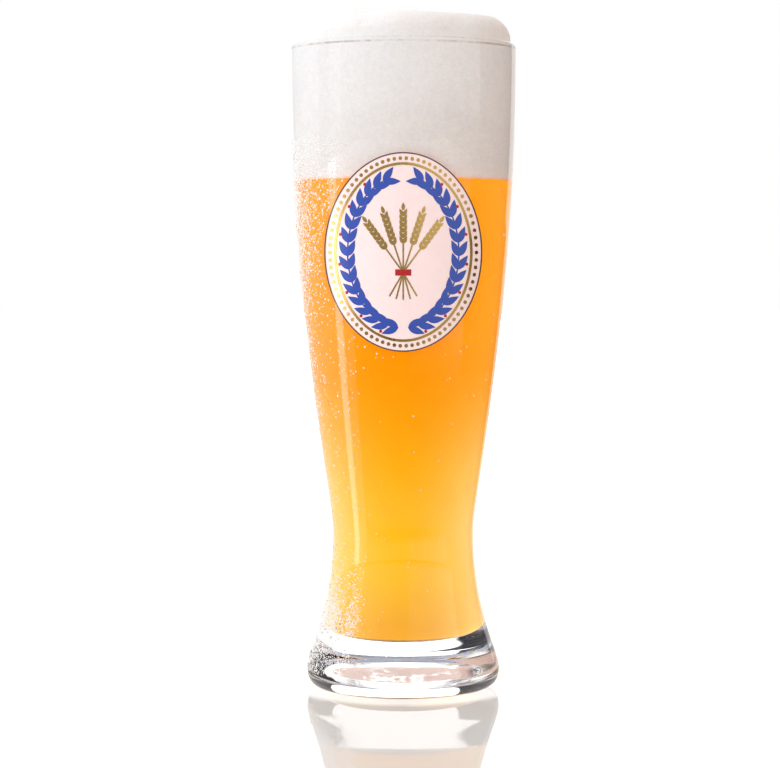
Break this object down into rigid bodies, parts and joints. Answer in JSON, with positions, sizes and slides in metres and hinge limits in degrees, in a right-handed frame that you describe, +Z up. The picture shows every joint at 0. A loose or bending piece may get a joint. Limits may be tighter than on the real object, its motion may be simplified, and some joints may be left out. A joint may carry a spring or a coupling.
{
  "type": "wheat beer glass",
  "caption": "Tall waisted wheat beer glass with a thick flared foot, poured full of cloudy beer under a foam head that stands proud of the rim, with a plain oval badge.",
  "frame": {"origin": "middle of the foot, on the surface that the glass stands on", "axes": "+Z up along the glass's own axis, the badge faces -Y, +X to the right seen from the front"},
  "size_m": [0.0824, 0.0824, 0.2447],
  "materials": {
    "clear_glass": "clear polished soda-lime glass, misted with fine condensation",
    "wheat_beer": "cloudy golden orange beer that glows where light passes through it",
    "foam": "dense fine-bubbled white beer foam",
    "white_enamel": "fired white enamel print, glossy",
    "dark_enamel": "fired dark brown enamel print, glossy",
    "gold_enamel": "fired bright gold print",
    "blue_enamel": "fired blue enamel print, glossy",
    "red_enamel": "fired red enamel print, glossy"
  },
  "bodies": {
    "root": {"glass": "clear_glass", "beer": "wheat_beer", "foam_head": "foam", "badge_ground": "white_enamel", "badge_keyline": "dark_enamel", "badge_gold": "gold_enamel", "badge_blue": "blue_enamel", "badge_red": "red_enamel", "fill_mark": "white_enamel"}
  },
  "joints": []
}
